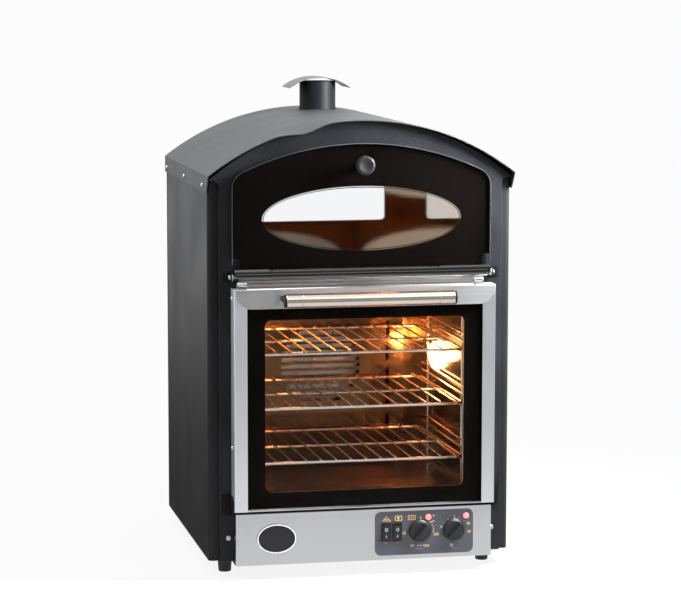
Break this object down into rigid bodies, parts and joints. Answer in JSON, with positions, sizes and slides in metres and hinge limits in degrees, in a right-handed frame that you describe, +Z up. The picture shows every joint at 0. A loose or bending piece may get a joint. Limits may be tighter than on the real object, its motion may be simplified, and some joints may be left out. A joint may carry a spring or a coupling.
{
  "type": "baked potato oven",
  "caption": "Counter-top baked potato oven: glazed drop-down oven door, lit display chamber with tilting flap, arched roof and small chimney.",
  "frame": {"origin": "middle of the overall box, on the plane the feet stand on", "axes": "+X to the right seen from the front, +Y to the back, +Z up; the door faces -Y"},
  "size_m": [0.5194, 0.577, 0.8105],
  "materials": {
    "stainless": "brushed, satin",
    "polished_steel": "polished bright",
    "dark_steel": "satin, darkened by heat",
    "side_black": "black enamel, fine satin",
    "roof_metal": "charcoal enamel, fine satin",
    "fascia_black": "black vitreous enamel, fine texture",
    "black_metal": "black, satin",
    "chrome_wire": "bright plated wire",
    "chrome": "bright plated",
    "clear_glass": "clear, polished",
    "black_print": "black ceramic print, gloss seen through glass",
    "black_plastic": "moulded, gloss",
    "matte_black_plastic": "moulded, fine texture",
    "rubber": "moulded rubber",
    "seal": "woven and rubber seal",
    "wool": "mineral wool",
    "element": "sheathed heating rod, matt",
    "motor": "grey, satin",
    "aluminium": "bare sheet",
    "lamp_glass": "frosted, warm",
    "ceramic": "glazed ceramic",
    "plate": "dark slate, printed marks",
    "badge": "dark slate oval with a white rim, no lettering",
    "pilot_lens": "red lens, glowing",
    "warm_nickel": "satin, warm"
  },
  "bodies": {
    "cabinet": {"roof_sheet": "roof_metal", "left_side_panel": "side_black", "right_side_panel": "side_black", "base_pan": "aluminium", "feet": "rubber", "rear_panel": "side_black", "front_fascia": "fascia_black", "centre_rail": "stainless", "oven_cavity": "dark_steel", "cavity_insulation": "wool", "fan_baffle": "dark_steel", "heating_element": "element", "fan_motor": "motor", "rack_bottom": "chrome_wire", "rack_middle": "chrome_wire", "rack_top": "chrome_wire", "runner_left": "chrome_wire", "runner_right": "chrome_wire", "oven_lamp_lens": "lamp_glass", "oven_lamp_holder": "ceramic", "door_seal": "seal", "display_chamber": "polished_steel", "rear_window_seal": "seal", "rear_window_glass": "clear_glass", "display_lamp_holder": "ceramic", "display_lamp_bulb": "lamp_glass", "control_panel": "stainless", "control_plate": "plate", "rocker_housings": "black_plastic", "dial_switches": "matte_black_plastic", "pilot_lights": "pilot_lens", "badge_plate": "badge", "chimney_pipe": "black_metal", "chimney_cap": "stainless", "cable_gland": "matte_black_plastic", "cabinet_screws": "chrome", "lower_hinge_plates": "black_metal", "flap_pivot_brackets": "black_metal", "flap_pivot_screws": "chrome"},
    "display_flap": {"flap_glass": "clear_glass", "flap_glass_print": "black_print", "flap_rail": "stainless", "flap_knob": "black_plastic"},
    "oven_door": {"door_frame": "stainless", "door_outer_glass": "clear_glass", "door_glass_print": "black_print", "door_inner_glass": "clear_glass", "door_top_bar": "stainless", "door_handle": "warm_nickel", "handle_brackets": "black_metal", "roller_brackets": "chrome", "door_screws": "chrome"},
    "left_roller": {"roller_left": "polished_steel"},
    "right_roller": {"roller_right": "polished_steel"},
    "oven_fan": {"fan_impeller": "aluminium"},
    "lights_rocker": {"rocker_lights": "black_plastic"},
    "fan_rocker": {"rocker_fan": "black_plastic"},
    "thermostat_dial": {"thermostat_knob": "black_plastic"},
    "timer_dial": {"timer_knob": "black_plastic"}
  },
  "joints": [
    {"name": "display_flap_hinge", "type": "hinge", "parent": "cabinet", "child": "display_flap", "pos_m": [0, -0.2135, 0.5], "axis": [1, 0, 0], "range_deg": [0, 90]},
    {"name": "oven_door_hinge", "type": "hinge", "parent": "cabinet", "child": "oven_door", "pos_m": [0, -0.2295, 0.132], "axis": [1, 0, 0], "range_deg": [0, 90]},
    {"name": "left_roller_spin", "type": "hinge", "parent": "oven_door", "child": "left_roller", "pos_m": [-0.2054, -0.2365, 0.4906], "axis": [1, 0, 0], "continuous": true},
    {"name": "right_roller_spin", "type": "hinge", "parent": "oven_door", "child": "right_roller", "pos_m": [0.1908, -0.2365, 0.4906], "axis": [1, 0, 0], "continuous": true},
    {"name": "oven_fan_spin", "type": "hinge", "parent": "cabinet", "child": "oven_fan", "pos_m": [0, 0.1665, 0.297], "axis": [0, 1, 0], "continuous": true},
    {"name": "lights_rocker_tilt", "type": "hinge", "parent": "cabinet", "child": "lights_rocker", "pos_m": [0.0357, -0.2354, 0.0718], "axis": [-1, 0, 0], "range_deg": [0, 14]},
    {"name": "fan_rocker_tilt", "type": "hinge", "parent": "cabinet", "child": "fan_rocker", "pos_m": [0.0546, -0.2354, 0.0718], "axis": [-1, 0, 0], "range_deg": [0, 14]},
    {"name": "thermostat_turn", "type": "hinge", "parent": "cabinet", "child": "thermostat_dial", "pos_m": [0.093, -0.2379, 0.0718], "axis": [0, 1, 0], "range_deg": [-45, 255]},
    {"name": "timer_turn", "type": "hinge", "parent": "cabinet", "child": "timer_dial", "pos_m": [0.151, -0.2379, 0.0718], "axis": [0, 1, 0], "range_deg": [-45, 255]}
  ]
}
